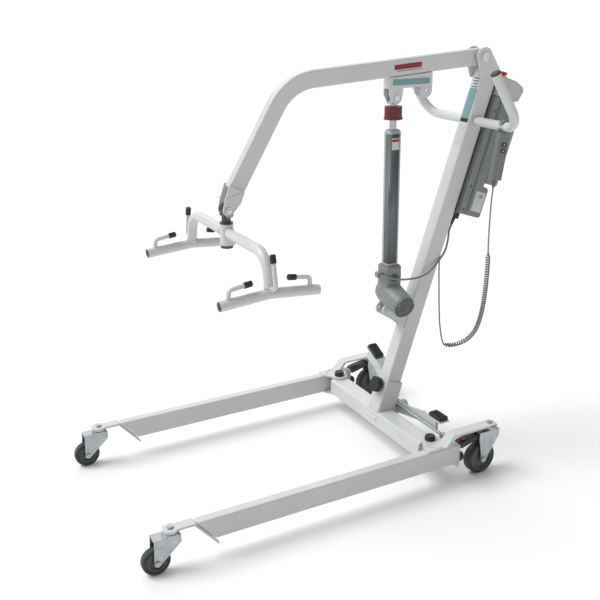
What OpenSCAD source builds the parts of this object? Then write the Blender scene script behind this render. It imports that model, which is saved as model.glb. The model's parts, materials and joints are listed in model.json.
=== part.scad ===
// Patient lift hoist: wheeled base with spreading legs, leaning mast,
// electric lifting boom and a six-point sling spreader.
// Frame: +Z up, legs and boom point to -Y, the floor is z = 0.
// Lengths are millimetres, angles are degrees.

/* [Legs] */
// Distance from the centre plane to the middle of each leg
leg_x = 307; // [280:1:330]
// Width of a leg tube
leg_w = 30; // [25:1:36]
// Height of a leg tube
leg_h = 62; // [50:1:66]
// Height of the legs' top face above the floor
leg_top = 120; // [118:1:126]
// Distance from the leg pivot line forward to the front castor axis
front_reach = 840; // [700:5:900]
// Distance from the leg pivot line back to the rear castor axis
rear_reach = 187; // [170:1:200]
// Distance from the centre plane to each leg pivot
pivot_x = 261; // [250:1:265]

/* [Castors] */
// Diameter of the front wheels
front_wheel_d = 76; // [70:1:80]
// Width of the front tyres
front_tyre_w = 24; // [20:1:28]
// Distance the front wheels trail their swivel axis
front_trail = 43; // [35:1:45]
// Diameter of the rear wheels
rear_wheel_d = 100; // [90:1:104]
// Width of the rear tyres
rear_tyre_w = 30; // [26:1:32]
// Distance the rear wheels trail their swivel axis
rear_trail = 33; // [28:1:40]

/* [Mast] */
// Backward lean of the mast
mast_lean = 18.1; // [17:0.1:19]
// Width of the mast tube
mast_w = 48; // [46:1:50]
// Depth of the mast tube
mast_d = 53; // [50:1:55]
// Length from the mast's foot to its top end
mast_len = 1095; // [1085:1:1100]
// Straight length of the push handle on each side
handle_straight = 158; // [140:1:170]
// Forward tilt of the two hand grips
grip_tilt = 33; // [25:1:38]
// Length of each hand grip above its bend
grip_len = 134; // [100:1:150]

/* [Boom] */
// Width of the boom tube
boom_w = 30; // [28:1:32]
// Depth of the boom tube
boom_d = 48; // [44:1:50]
// Downward slope of the boom's long arm
boom_slope = 3.8; // [3:0.1:5]
// Bend radius of the boom's centre line
boom_bend_r = 140; // [120:5:160]

/* [Spreader] */
// Distance from the swivel to each sling bar
bar_x = 258; // [240:1:270]
// Half length of a sling bar
bar_half = 140; // [125:1:150]
// Droop of a sling bar's ends below its middle
bar_droop = 11.5; // [8:0.5:14]
// Diameter of the sling bars
bar_d = 28; // [26:1:30]

/* [Pedals] */
// Angle the pedal rocker rests at, with the legs closed
rocker_rest = 13.5; // [12:0.5:14]
// Distance from the rocker's axle to each pedal
pedal_reach = 206; // [195:1:210]

/* [Hidden] */
$fn = 48;

y_shift = 229.7;
wall = 3;
fit = 0.05;
eps = 1;

// Heights and depths of the base
beam_z0 = leg_top - 55.5;
beam_z1 = leg_top - 0.5;
beam_y0 = -37;
beam_y1 = 26;
bush_r = 24;
plate_t = 6;
pivot_bolt_r = 10;
leg_rear_y = 60;
leg_cut_top = front_reach - 68;
leg_cut_low = front_reach - 122;

// Castor heights
front_top = leg_top - plate_t;
rear_top = leg_top + 31;
kingpin_r = 5;

// Pedal rocker
rocker_y = 76;
rocker_z = 105;
rocker_depth = 36;
rocker_axle_r = 8;
arm_angle = 25.5;
arm_half = 17;
crank_r = 23.1;
link_y = 48;
link_r = 4.5;
link_pin_r = 5;

// Mast details, measured along the mast (v) and rearward of its centre line (u)
mast_z = leg_top - 4;
ear_t = 4.7;
ear_x = mast_w / 2 + 0.3;
pivot_u = -45;
pivot_v = 1129;
handle_v = 947;
handle_r = 14;
handle_bend = 57;

// Boom pivot in the base frame
boom_y = pivot_u * cos(mast_lean) + pivot_v * sin(mast_lean);
boom_z = mast_z + pivot_v * cos(mast_lean) - pivot_u * sin(mast_lean);
boom_pin_r = 8;
boom_arm = 573;
boom_turn = 55.5;
boom_nose = 246;

// Actuator: foot pin and top pin in the base frame
foot_y = 15;
foot_z = 458;
top_y = 6;
top_z = 1101;
act_len = norm([top_y - foot_y, top_z - foot_z]);
act_tilt = atan2(foot_y - top_y, top_z - foot_z);
act_pin_r = 6;
rod_r = 10.5;
lug_hole_y = 108;
lug_hole_z = 1116;
lug_hole_r = 5.1;

// Hanger and spreader
hang_y = -526;
hang_z = 836;
hang_pin_r = 6;
stud_r = 10;
main_z = 773;
main_r = 14.5;
main_bend = 65;
main_turn = 80;
bar_z = 676;
bar_tilt = asin(bar_droop / bar_half);
hook_r = 6;
hook_at = 114;

// ---- general shapes ----

module base() {
    translate([0, y_shift, 0]) children();
}

module both_sides() {
    children();
    mirror([1, 0, 0]) children();
}

// Frame on the leaning mast: Z runs up the mast, Y to its rear
module on_mast() {
    base() translate([0, 0, mast_z]) rotate([-mast_lean, 0, 0]) children();
}

// Frame on the actuator: Z runs from the foot pin to the top pin
module on_actuator() {
    base() translate([0, foot_y, foot_z]) rotate([act_tilt, 0, 0]) children();
}

// Rectangle with rounded corners, centred
module rounded(w, d, r) {
    square([w - 2 * r, d], center = true);
    square([w, d - 2 * r], center = true);
    for (i = [-1, 1]) {
        for (j = [-1, 1]) {
            translate([i * (w / 2 - r), j * (d / 2 - r)]) circle(r);
        }
    }
}

module rounded_ring(w, d, r, t) {
    difference() {
        rounded(w, d, r);
        rounded(w - 2 * t, d - 2 * t, r - t);
    }
}

// Cylinder along X, centred on x = 0 unless from is given
module rod_x(r, len, from = undef) {
    x0 = from == undef ? -len / 2 : from;
    translate([x0, 0, 0]) rotate([0, 90, 0]) cylinder(r = r, h = len);
}

module rod_y(r, len) {
    rotate([-90, 0, 0]) cylinder(r = r, h = len);
}

// Extrude a drawing made in (y, z) along X, centred
module slab_x(t) {
    rotate([90, 0, 90]) translate([0, 0, -t / 2]) linear_extrude(t) children();
}

// Split ring through a pin's end, standing in the plane across X
module split_ring(r, wire) {
    rotate([0, 90, 0]) rotate_extrude() translate([r, 0]) circle(wire, $fn = 16);
}

// Tube swept along points as one polyhedron
function unit(v) = v / norm(v);
function side_of(d) = unit(cross(d, abs(d[0]) < 0.9 ? [1, 0, 0] : [0, 1, 0]));
function heading(p, i) =
    unit(p[min(i + 1, len(p) - 1)] - p[max(i - 1, 0)]);
function turned(a, d) = unit(a - d * (a * d));
function sides(p, i, a) =
    i == len(p) ? [] : concat([turned(a, heading(p, i))], sides(p, i + 1, turned(a, heading(p, i))));

module sweep(p, r, n) {
    frames = sides(p, 0, side_of(heading(p, 0)));
    rings = [for (i = [0:len(p) - 1])
        for (k = [0:n - 1])
            p[i] + r * (cos(360 * k / n) * frames[i]
                + sin(360 * k / n) * cross(heading(p, i), frames[i]))];
    last = (len(p) - 1) * n;
    walls = [for (i = [0:len(p) - 2])
        for (k = [0:n - 1])
            [i * n + k, i * n + (k + 1) % n, (i + 1) * n + (k + 1) % n, (i + 1) * n + k]];
    caps = [[for (k = [n - 1:-1:0]) k], [for (k = [0:n - 1]) last + k]];
    polyhedron(points = rings, faces = concat(walls, caps), convexity = 10);
}

// Smooth a hand-chosen route with a Catmull-Rom curve, m steps a span
function spot(p, i) = p[max(0, min(i, len(p) - 1))];
function between(p, i, t) =
    0.5 * (2 * spot(p, i)
        + (spot(p, i + 1) - spot(p, i - 1)) * t
        + (2 * spot(p, i - 1) - 5 * spot(p, i) + 4 * spot(p, i + 1) - spot(p, i + 2)) * t * t
        + (3 * spot(p, i) - spot(p, i - 1) - 3 * spot(p, i + 1) + spot(p, i + 2)) * t * t * t);
function smooth(p, m) =
    concat([for (i = [0:len(p) - 2]) for (k = [0:m - 1]) between(p, i, k / m)],
        [p[len(p) - 1]]);

// ---- base ----

module beam_bush(bore) {
    translate([pivot_x, 0, beam_z0]) {
        difference() {
            cylinder(r = bush_r, h = beam_z1 - beam_z0);
            translate([0, 0, -eps]) cylinder(r = bore, h = beam_z1 - beam_z0 + 2 * eps);
        }
    }
}

module cross_beam() {
    depth = beam_y1 - beam_y0;
    height = beam_z1 - beam_z0;
    mid_y = (beam_y0 + beam_y1) / 2;
    mid_z = (beam_z0 + beam_z1) / 2;
    beam_end = pivot_x - 5;
    color("gainsboro") base() {
        difference() {
            translate([-beam_end, mid_y, mid_z]) rotate([90, 0, 90])
                linear_extrude(2 * beam_end) rounded(depth, height, 9);
            translate([-beam_end + wall, mid_y, mid_z]) rotate([90, 0, 90])
                linear_extrude(2 * (beam_end - wall)) rounded(depth - 2 * wall, height - 2 * wall, 6);
            both_sides() translate([pivot_x, 0, 0]) cylinder(r = bush_r, h = leg_top);
        }
        both_sides() beam_bush(pivot_bolt_r);
        translate([0, beam_y1 - 0.5, rocker_z]) {
            rod_y(rocker_axle_r, rocker_y + rocker_depth / 2 - beam_y1 + 5);
            rod_y(14, link_y - beam_y1 - 6);
        }
        translate([0, rocker_y + rocker_depth / 2 + 0.4, rocker_z]) rod_y(13, 4);
    }
}

module leg_pivot_bolts() {
    color("black") base() both_sides() translate([pivot_x, 0, 0]) {
        translate([0, 0, beam_z0 - plate_t - 8]) cylinder(r = pivot_bolt_r, h = leg_top + 14 - beam_z0 + plate_t);
        translate([0, 0, beam_z0 - plate_t - 9]) cylinder(r = 14, h = 8, $fn = 6);
        translate([0, 0, leg_top + plate_t + 0.4]) rotate_extrude() {
            square([14, 13]);
            square([16, 9]);
            translate([12, 11]) circle(3);
        }
    }
}

// Outline of the plates that carry a leg on its pivot
module hinge_outline(reach_y) {
    difference() {
        union() {
            translate([pivot_x, 0]) circle(27);
            polygon([[pivot_x, -27], [leg_x - 15, -46], [leg_x + 14, -46],
                [leg_x + 14, 44], [leg_x - 17, 44], [pivot_x, 27]]);
        }
        translate([pivot_x, 0]) circle(pivot_bolt_r + fit);
    }
}

module castor_strip(pin_y, x_half) {
    translate([leg_x, pin_y]) circle(x_half);
}

// Lever on the leg's inner face that a link pushes, with its pin
module link_lever(z) {
    translate([0, 0, z]) linear_extrude(5) {
        translate([pivot_x, link_y]) circle(11);
        translate([pivot_x, link_y - 11]) square([leg_x - leg_w / 2 - pivot_x, 22]);
    }
    translate([pivot_x, link_y, z]) cylinder(r = link_pin_r, h = 21);
}

module leg_plates(lever_z) {
    end_len = norm([leg_cut_top - leg_cut_low, leg_h]);
    difference() {
        union() {
            translate([0, 0, leg_top]) linear_extrude(plate_t) hinge_outline();
            intersection() {
                translate([0, 0, beam_z0 - 0.4 - plate_t]) linear_extrude(plate_t) hinge_outline();
                translate([pivot_x - 40, -60, 0]) cube([leg_x - leg_w / 2 - pivot_x + 40, 130, leg_top]);
            }
            // raised strip to the rear castor
            translate([leg_x, 0, 0]) slab_x(36) polygon([
                [6, leg_top + 2], [20, leg_top + 1], [45, rear_top], [rear_reach, rear_top],
                [rear_reach, rear_top + plate_t], [42, rear_top + plate_t],
                [36, rear_top + plate_t - 3], [14, leg_top + plate_t], [6, leg_top + plate_t]]);
            translate([leg_x, rear_reach, rear_top]) cylinder(r = 18, h = plate_t);
            // rear end plate
            translate([leg_x - 17, leg_rear_y, 46]) cube([34, 5, leg_top - 46]);
            // front strip, flush with the leg's top
            translate([leg_x, -front_reach, front_top]) cylinder(r = 21, h = plate_t);
            translate([leg_x - 15, -front_reach, front_top]) cube([30, front_reach - leg_cut_top - 4, plate_t]);
            // sloping plate that closes the front end
            translate([leg_x - 18, -leg_cut_top - 5, leg_top - 1.5]) rotate([-atan2(leg_h, leg_cut_top - leg_cut_low), 0, 0])
                translate([0, 0, -5]) cube([36, end_len + 14, 5]);
        }
        translate([leg_x, rear_reach, rear_top - eps]) cylinder(r = kingpin_r, h = plate_t + 2 * eps);
        translate([leg_x, -front_reach, front_top - eps]) cylinder(r = kingpin_r, h = plate_t + 2 * eps);
        leg_solid();
    }
    link_lever(lever_z);
}

module leg_solid() {
    translate([leg_x, leg_rear_y, leg_top - leg_h / 2]) difference() {
        rotate([90, 0, 0]) linear_extrude(leg_rear_y + leg_cut_top) rounded(leg_w, leg_h, 4);
        leg_slope_cut();
    }
}

// Wedge that slopes the front end of the leg
module leg_slope_cut() {
    translate([-leg_w, -leg_rear_y - leg_cut_top, leg_h / 2]) rotate([-atan2(leg_h, leg_cut_top - leg_cut_low), 0, 0])
        translate([0, -20, -80]) cube([2 * leg_w, 160, 80]);
}

module leg_tube() {
    color("gainsboro") base() difference() {
        leg_solid();
        translate([leg_x, leg_rear_y - wall, leg_top - leg_h / 2]) difference() {
            rotate([90, 0, 0]) linear_extrude(leg_rear_y + leg_cut_top - 4 * wall) rounded(leg_w - 2 * wall, leg_h - 2 * wall, 2);
            translate([0, 2 * wall + 2, 0]) leg_slope_cut();
        }
    }
}

module left_leg_tube() {
    leg_tube();
}

module right_leg_tube() {
    mirror([1, 0, 0]) leg_tube();
}

module left_leg_plates() {
    color("gainsboro") base() leg_plates(rocker_z + 8);
}

module right_leg_plates() {
    color("gainsboro") base() mirror([1, 0, 0]) leg_plates(rocker_z - 38);
}

// Kingpin with its head above the plate and its race below
module castor_bolt(y, z, race_r) {
    translate([leg_x, y, z]) {
        translate([0, 0, -16]) cylinder(r = kingpin_r, h = 16 + plate_t + 1);
        translate([0, 0, plate_t]) cylinder(r = 9, h = 2);
        translate([0, 0, plate_t + 2]) cylinder(r = 7.5, h = 3, $fn = 6);
        translate([0, 0, -4]) cylinder(r = race_r, h = 4);
    }
}

module castor_bolts() {
    castor_bolt(-front_reach, front_top, 20);
    castor_bolt(rear_reach, rear_top, 23);
}

module left_castor_bolts() {
    color("silver") base() castor_bolts();
}

module right_castor_bolts() {
    color("silver") base() mirror([1, 0, 0]) castor_bolts();
}

// ---- castors ----

module at_castor(side, front) {
    base() translate([side * leg_x, front ? -front_reach : rear_reach, 0]) children();
}

// Yoke of a castor: crown, two side plates, axle bolt
module fork(top, d, w, trail, crown_front, axle_r) {
    crown = top - 4.4;
    gap = w / 2 + 3;
    difference() {
        union() {
            translate([0, 0, crown - 5]) cylinder(r = 22, h = 5);
            translate([-gap - 3, -crown_front, crown - 9]) cube([2 * gap + 6, crown_front + 22, 4]);
            both_sides() translate([gap + 1.5, 0, 0]) slab_x(3) {
                polygon([[-crown_front, crown - 5], [-crown_front, crown - 20],
                    [-trail - 9, d / 2 + 12], [-trail - 9, d / 2], [-trail + 7, d / 2 - 7],
                    [22, crown - 26], [22, crown - 5]]);
                translate([-trail, d / 2]) circle(9.5);
            }
        }
        translate([0, 0, crown - 12]) cylinder(r = kingpin_r + fit, h = 20);
    }
    translate([0, -trail, d / 2]) {
        rod_x(axle_r, 2 * gap + 10);
        both_sides() rod_x(axle_r + 3.5, 3.5, gap + 3);
    }
}

module front_fork(side) {
    color("silver") at_castor(side, true) fork(front_top, front_wheel_d, front_tyre_w, front_trail, 50, 4);
}

module rear_fork(side) {
    color("silver") at_castor(side, false) {
        fork(rear_top, rear_wheel_d, rear_tyre_w, rear_trail, 52, 5);
        translate([0, -44, rear_top - 22]) rod_x(3, rear_tyre_w + 10);
    }
}

module tyre(d, w, trail) {
    translate([0, -trail, d / 2]) rotate([0, 90, 0]) rotate_extrude($fn = 72) difference() {
        translate([d / 2 - 14, 0]) rounded(28, w, 6);
        translate([d / 2 - 40, -w]) square([29, 2 * w]);
    }
}

module hub(d, w, trail, axle_r) {
    translate([0, -trail, d / 2]) rotate([0, 90, 0]) rotate_extrude($fn = 60) {
        translate([axle_r + fit, -w / 2 - 1.5]) square([6, w + 3]);
        translate([axle_r + 3, -w / 2 + 5]) square([d / 2 - 14 - axle_r, w - 10]);
        translate([d / 2 - 17, -w / 2 + 1]) square([6, w - 2]);
    }
}

module front_tyre(side) {
    color("dimgray") at_castor(side, true) tyre(front_wheel_d, front_tyre_w, front_trail);
}

module front_hub(side) {
    color("gray") at_castor(side, true) hub(front_wheel_d, front_tyre_w, front_trail, 4);
}

module rear_tyre(side) {
    color("dimgray") at_castor(side, false) tyre(rear_wheel_d, rear_tyre_w, rear_trail);
}

module rear_hub(side) {
    color("gray") at_castor(side, false) hub(rear_wheel_d, rear_tyre_w, rear_trail, 5);
}

module brake_pedal(side) {
    color("darkred") at_castor(side, false) difference() {
        slab_x(rear_tyre_w) {
            translate([-44, rear_top - 22]) circle(6.5);
            polygon([[-44, rear_top - 15.5], [-62, rear_top - 17], [-112, rear_top - 27],
                [-120, rear_top - 33], [-121, rear_top - 42], [-112, rear_top - 45],
                [-62, rear_top - 32], [-44, rear_top - 28.5]]);
        }
        translate([0, -44, rear_top - 22]) rod_x(3 + fit, rear_tyre_w + 10);
    }
}

module front_left_fork() { front_fork(1); }
module front_right_fork() { front_fork(-1); }
module rear_left_fork() { rear_fork(1); }
module rear_right_fork() { rear_fork(-1); }
module front_left_tyre() { front_tyre(1); }
module front_right_tyre() { front_tyre(-1); }
module rear_left_tyre() { rear_tyre(1); }
module rear_right_tyre() { rear_tyre(-1); }
module front_left_hub() { front_hub(1); }
module front_right_hub() { front_hub(-1); }
module rear_left_hub() { rear_hub(1); }
module rear_right_hub() { rear_hub(-1); }
module rear_left_brake() { brake_pedal(1); }
module rear_right_brake() { brake_pedal(-1); }

// ---- leg spreading pedals ----

module on_rocker() {
    base() translate([0, rocker_y, rocker_z]) rotate([0, rocker_rest, 0]) children();
}

// Seat under a pedal, bent back from the top of the rocker plate
module rocker_seat() {
    at_pedal() {
        translate([-31, -18, -12]) cube([62, 36, 5]);
        translate([-31, -18, -40]) cube([44, 8, 33]);
    }
}

module at_pedal() {
    rotate([0, -arm_angle, 0]) translate([pedal_reach, 0, 12]) rotate([0, arm_angle - 14, 0])
        children();
}

// V-shaped plate of the rocker, drawn in x and z
module rocker_outline() {
    saddle_r = 90;
    saddle_z = (saddle_r + arm_half) / cos(arm_angle);
    tip = pedal_reach + 8;
    polygon(concat(
        [for (t = [-arm_angle:arm_angle / 6:arm_angle])
            [saddle_r * sin(t), saddle_z - saddle_r * cos(t)]],
        [[tip * cos(arm_angle) - arm_half * sin(arm_angle), tip * sin(arm_angle) + arm_half * cos(arm_angle)],
            [tip * cos(arm_angle), tip * sin(arm_angle)],
            [(tip - 30) * cos(arm_angle) + arm_half * sin(arm_angle),
                (tip - 30) * sin(arm_angle) - arm_half * cos(arm_angle)],
            [arm_half * sin(arm_angle), -arm_half * cos(arm_angle)],
            [-arm_half * sin(arm_angle), -arm_half * cos(arm_angle)],
            [-(tip - 30) * cos(arm_angle) - arm_half * sin(arm_angle),
                (tip - 30) * sin(arm_angle) - arm_half * cos(arm_angle)],
            [-tip * cos(arm_angle), tip * sin(arm_angle)],
            [-tip * cos(arm_angle) + arm_half * sin(arm_angle), tip * sin(arm_angle) + arm_half * cos(arm_angle)]]));
}

module pedal_rocker() {
    color("gainsboro") on_rocker() {
        difference() {
            union() {
                translate([0, 8 - rocker_depth / 2, 0]) rotate([90, 0, 0]) linear_extrude(8) rocker_outline();
                both_sides() rocker_seat();
                translate([0, -rocker_depth / 2, 0]) rod_y(21, rocker_depth);
                translate([-8, -rocker_depth / 2, -crank_r]) cube([16, 8, 2 * crank_r]);
                for (s = [-1, 1]) {
                    translate([0, -rocker_depth / 2, s * crank_r]) rod_y(8, 8);
                }
            }
            translate([0, -rocker_depth / 2 - eps, 0]) rod_y(rocker_axle_r + fit, rocker_depth + 2 * eps);
            both_sides() at_pedal() translate([-50, -30, -7]) cube([100, 60, 30]);
        }
        for (s = [-1, 1]) {
            translate([0, link_y - rocker_y - 6, s * crank_r]) rod_y(link_pin_r, 17);
        }
    }
}

module pedal_pads() {
    color("black") on_rocker() both_sides() at_pedal() translate([0, 0, -7]) {
        linear_extrude(11) rounded(60, 34, 7);
        translate([0, 0, 11]) linear_extrude(2) rounded(56, 30, 6);
    }
}

// Flat rod from the rocker's crank pin to a leg's lever pin
module link(side, z, crank_x) {
    far_x = side * pivot_x;
    color("silver") base() translate([0, link_y, z]) difference() {
        union() {
            translate([min(crank_x, far_x), 0, 0]) rod_x(link_r, abs(far_x - crank_x), 0);
            translate([crank_x, -5, 0]) rod_y(9.5, 10);
            translate([far_x, 0, -5]) cylinder(r = 10.5, h = 10);
        }
        translate([crank_x, -6, 0]) rod_y(link_pin_r + 0.9, 12);
        translate([far_x, 0, -6]) cylinder(r = link_pin_r + 1.5, h = 12);
    }
}

module left_link() {
    link(1, rocker_z + crank_r * cos(rocker_rest), crank_r * sin(rocker_rest));
}

module right_link() {
    link(-1, rocker_z - crank_r * cos(rocker_rest), -crank_r * sin(rocker_rest));
}

// ---- mast ----

module mast_socket() {
    color("gainsboro") difference() {
        on_mast() difference() {
            translate([0, 0, -34]) linear_extrude(134) rounded(mast_w + 12, mast_d + 12, 5);
            translate([0, 0, 15]) linear_extrude(90) square([mast_w + 0.02, mast_d + 0.02], center = true);
            translate([0, -mast_d / 2 - 10, 78]) rod_y(6, 20);
        }
        base() translate([-60, beam_y0, -20]) cube([120, beam_y1 - beam_y0, beam_z1 + 20]);
        base() translate([-60, beam_y1 - eps, -60]) cube([120, 80, beam_z1 + 61]);
        base() translate([-60, beam_y0 - 40, -60]) cube([120, 40 + eps, beam_z0 + 66]);
    }
}

module mast_tube() {
    color("gainsboro") on_mast() difference() {
        translate([0, 0, 15]) linear_extrude(mast_len - 15) rounded(mast_w, mast_d, 4);
        translate([0, 0, 14]) linear_extrude(mast_len) rounded(mast_w - 2 * wall, mast_d - 2 * wall, 1.5);
        translate([0, 0, handle_v]) rod_x(handle_r, mast_w + 10);
    }
}

module mast_head() {
    color("gainsboro") on_mast() difference() {
        union() {
            both_sides() translate([ear_x + ear_t / 2, 0, 0]) slab_x(ear_t) {
                translate([pivot_u, pivot_v]) circle(28);
                polygon([[-mast_d / 2 - 5, mast_len - 28], [mast_d / 2, mast_len - 2],
                    [mast_d / 2, mast_len + 14], [pivot_u + 22, pivot_v + 18],
                    [pivot_u - 20, pivot_v - 19]]);
            }
            translate([-ear_x - 1, -mast_d / 2, mast_len]) cube([2 * ear_x + 2, mast_d, 5]);
            translate([-ear_x - 1, mast_d / 2 - 5, mast_len]) cube([2 * ear_x + 2, 5, 14]);
        }
        translate([0, pivot_u, pivot_v]) rod_x(boom_pin_r, 80);
        translate([0, pivot_u, pivot_v]) rod_x(26, 2 * ear_x);
    }
}

module boom_pivot_bolt() {
    color("silver") on_mast() translate([0, pivot_u, pivot_v]) {
        rod_x(boom_pin_r, 2 * (ear_x + ear_t) + 6);
        rod_x(13, 3, ear_x + ear_t);
        rod_x(11, 6, -ear_x - ear_t - 6);
    }
}

module foot_bracket() {
    color("gainsboro") difference() {
        union() {
            base() both_sides() translate([17.5, 0, 0]) slab_x(5) polygon([
                [foot_y - 36, foot_z - 2], [foot_y - 33, foot_z - 12], [foot_y + 20, foot_z - 46],
                [60, 392], [mast_front(388), 388], [mast_front(482), 482],
                [foot_y - 2, foot_z + 24], [foot_y - 22, foot_z + 20], [foot_y - 33, foot_z + 10]]);
            on_mast() translate([-17, -mast_d / 2 - 5, 285]) cube([34, 5, 90]);
        }
        base() translate([0, foot_y, foot_z]) rod_x(act_pin_r + fit, 60);
        base() translate([0, foot_y - 24, foot_z + 3]) rod_x(3, 60);
    }
}

// Depth of the mast's front face at a height
function mast_front(z) = ((z - mast_z) * sin(mast_lean) - mast_d / 2) / cos(mast_lean);

// Cross-section of a round tube
module tube_ring(r, t) {
    difference() {
        circle(r);
        circle(r - t);
    }
}

// Bend and grip at one end of the push handle
module handle_grip() {
    translate([handle_straight, 0, handle_bend]) rotate([90, 0, 0]) rotate([0, 0, -90])
        rotate_extrude(angle = 90) translate([handle_bend, 0]) circle(handle_r);
    translate([handle_straight + handle_bend, 0, handle_bend]) cylinder(r = handle_r, h = grip_len);
}

// The straight tube and the grips are bored, and the bends are left solid
module push_handle() {
    bore = handle_r - 2.5;
    color("gainsboro") base() translate([0, handle_y(), handle_z()]) rotate([grip_tilt, 0, 0]) difference() {
        union() {
            rod_x(handle_r, 2 * handle_straight);
            both_sides() handle_grip();
        }
        rod_x(bore, 2 * handle_straight - 6);
        both_sides() translate([handle_straight + handle_bend, 0, handle_bend + 3])
            cylinder(r = bore, h = grip_len - 6);
    }
}

function handle_y() = handle_v * sin(mast_lean);
function handle_z() = mast_z + handle_v * cos(mast_lean);

module mast_lock_knob() {
    color("black") on_mast() translate([0, -mast_d / 2 - 6, 78]) rotate([90, 0, 0]) {
        difference() {
            union() {
                cylinder(r = 14, h = 8);
                translate([0, 0, 8]) cylinder(r = 24.5, h = 17);
            }
            for (a = [0:60:300]) {
                rotate(a + 30) translate([29, 0, 8 - eps]) cylinder(r = 8, h = 20);
            }
        }
        translate([0, 0, -5.5]) cylinder(r = 5.5, h = 6);
    }
}

// ---- control box, battery, handset ----

module box_mount() {
    color("dimgray") on_mast() translate([-18, mast_d / 2, 672]) cube([36, 5.5, 392]);
}

module box_side() {
    polygon([[32, 668], [114, 668], [120, 674], [120, 758], [114, 764], [97, 766],
        [97, 1022], [112, 1030], [126, 1038], [134, 1076], [128, 1086], [95, 1096],
        [48, 1096], [32, 1084]]);
}

module control_box() {
    color("gray") on_mast() {
        difference() {
            slab_x(76) box_side();
            both_sides() translate([38, 32, 660]) rotate([0, 0, 45]) translate([-10, -10, 0]) cube([20, 20, 450]);
            translate([0, 65, 1090]) cylinder(r = 7, h = 7);
        }
        difference() {
            translate([0, 65, 1096]) cylinder(r = 16, h = 5);
            translate([0, 65, 1088]) cylinder(r = 7, h = 20);
        }
    }
}

module battery_pack() {
    color("gray") on_mast() difference() {
        translate([0, 126.5, 776]) linear_extrude(228) rounded(72, 58, 12);
        both_sides() translate([36, 100, 800]) rotate([0, 0, 45]) cube([4, 4, 500], center = true);
    }
}

module emergency_stop() {
    color("red") on_mast() translate([0, 65, 1104]) {
        cylinder(r = 13, h = 8);
        translate([0, 0, -8]) cylinder(r = 6.5, h = 9);
    }
}

hs_x = 150;
hs_lean = -9;
hs_top = 999;

module on_handset() {
    base() translate([hs_x, handle_y(), hs_top]) rotate([hs_lean, 0, 0]) children();
}

module handset() {
    color("lightgray") {
        on_handset() {
            difference() {
                translate([0, 0, -138]) linear_extrude(138) rounded(22, 40, 7);
                translate([6, -9, -40]) cube([8, 18, 12]);
                translate([6, -9, -58]) cube([8, 18, 12]);
            }
            translate([0, 0, -162]) cylinder(r1 = 3.2, r2 = 6, h = 24);
        }
        base() translate([hs_x, handle_y(), handle_z()]) difference() {
            rod_x(handle_r + 5, 14);
            rod_x(handle_r + 0.4, 16);
            translate([-8, -40, -4]) cube([16, 40, 12]);
        }
    }
}

module handset_button(z) {
    color("dimgray") on_handset() translate([8.2, -8.6, z + 0.4]) cube([4.2, 17.2, 11.2]);
}

module up_button() {
    handset_button(-40);
}

module down_button() {
    handset_button(-58);
}

// Plugs under the control box, and the elbow gland on the gear housing
module cable_plugs() {
    color("black") on_mast() for (s = [0, 1]) {
        translate([s ? -22 : 0, 50, 648]) {
            translate([-9, -12, 0]) cube([18, 24, 20]);
            translate([0, 0, -22]) cylinder(r1 = 3.4, r2 = 7, h = 22);
        }
    }
}

// ---- cords ----

plug_a = [0, 50 * cos(mast_lean) + 626 * sin(mast_lean), mast_z + 626 * cos(mast_lean) - 50 * sin(mast_lean)];
gland_x = 9;
gland_end = [gland_x + 0.5, -25, 573];

motor_route = [plug_a, [3, 232, 676], [12, 222, 648], [22, 204, 618], [32, 170, 590],
    [39, 136, 568], [43, 98, 558], [43, 62, 557], [42, 30, 560], [39, 4, 565],
    [33, -15, 570], [20, -25, 573], gland_end];
cord_top_route = [[hs_x, 269, 839], [hs_x, 267, 812], [hs_x, 266, 780], [hs_x, 266, 740],
    [149, 267, 700], [147, 270, 665], [145, 273, 641]];
coil_route = [[145, 273, 640], [142, 277, 600], [137, 281, 550], [131, 284, 500], [124, 286, 455],
    [114, 286, 410], [102, 282, 370], [84, 270, 336], [62, 252, 314], [42, 230, 304], [28, 210, 308]];
cord_end_route = [[26, 208, 309], [25, 205, 330], [23, 200, 380], [20, 196, 440], [16, 195, 500],
    [10, 196, 550], [2, 202, 600], [-8, 214, 640], [-18, 228, 672], [-22, 240, 690],
    [-22, plug_a[1], plug_a[2]]];
cord_r = 2.5;
coil_r = 8;

module motor_cable() {
    color("gray") base() sweep(smooth(motor_route, 4), 3.2, 10);
}

module handset_cord() {
    color("gray") base() {
        sweep(smooth(cord_top_route, 4), cord_r, 8);
        sweep(smooth(cord_end_route, 4), cord_r, 8);
    }
}

module handset_coil() {
    color("gray") base() sweep(smooth(coil_route, 3), coil_r, 12);
}

// ---- boom ----

// Frame on the boom's long arm: origin at the pivot, Y runs forward along the arm
module on_boom() {
    base() translate([0, boom_y, boom_z]) rotate([boom_slope, 0, 0]) children();
}

// Bent bar of the boom: straight arm, bend, straight nose
module boom_bar(w, d, r, start, stop) {
    straight = boom_arm - start;
    translate([0, -start, 0]) rotate([90, 0, 0]) linear_extrude(straight) rounded(w, d, r);
    translate([0, -boom_arm, -boom_bend_r]) {
        rotate([0, 0, 90]) rotate([90, 0, 0]) rotate([0, 0, 90])
            rotate_extrude(angle = boom_turn, $fn = 96) translate([boom_bend_r, 0]) rounded(d, w, r);
        rotate([boom_turn, 0, 0]) translate([0, 0, boom_bend_r]) rotate([90, 0, 0])
            linear_extrude(stop) rounded(w, d, r);
    }
}

module boom_tube() {
    color("gainsboro") on_boom() {
        difference() {
            boom_bar(boom_w, boom_d, 5, 0, boom_nose);
            boom_bar(boom_w - 2 * wall, boom_d - 2 * wall, 2, 30, boom_nose - wall);
            rod_x(18, boom_w + 10);
        }
        difference() {
            union() {
                rod_x(24, boom_w);
                rod_x(17, 2 * ear_x - 0.8);
            }
            rod_x(boom_pin_r + fit, 80);
        }
    }
}

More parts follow.
